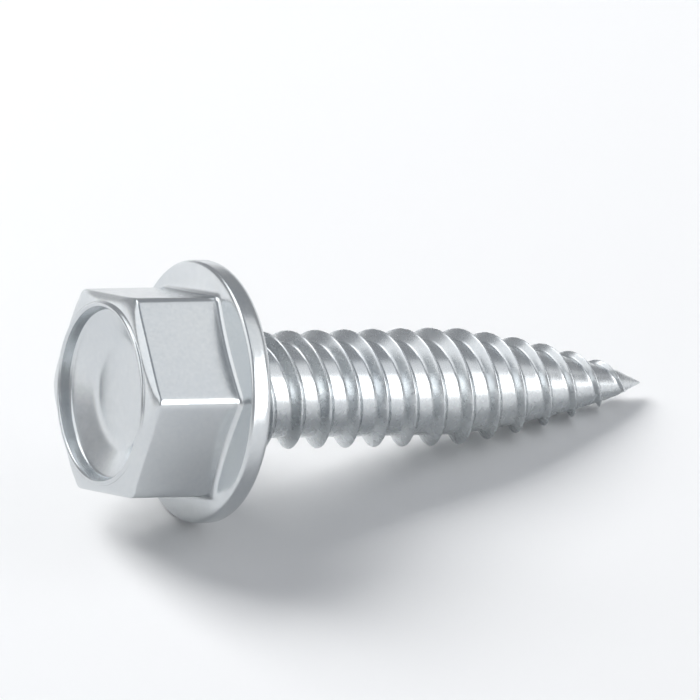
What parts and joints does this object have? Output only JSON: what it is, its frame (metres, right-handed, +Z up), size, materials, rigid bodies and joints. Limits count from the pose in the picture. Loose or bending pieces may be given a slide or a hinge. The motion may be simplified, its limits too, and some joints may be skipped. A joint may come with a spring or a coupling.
{
  "type": "self-tapping screw",
  "caption": "Self-tapping screw with a dished hexagon head, a washer forged in one with it, a coarse twin thread and a long tapered point, lying on its side.",
  "frame": {"origin": "on the ground, under the middle of the box of the screw as it lies at rest on the edge of its washer and its thread", "axes": "+Z up; the screw's axis lies in the XZ plane, its head toward -X and its point toward +X and dipping by about 13.2 degrees"},
  "size_m": [0.0248, 0.0104, 0.0105],
  "materials": {
    "zinc_plate": "bright zinc-plated steel, smooth with a soft sheen and faint forging and rolling marks"
  },
  "bodies": {
    "root": {"screw": "zinc_plate"}
  },
  "joints": []
}
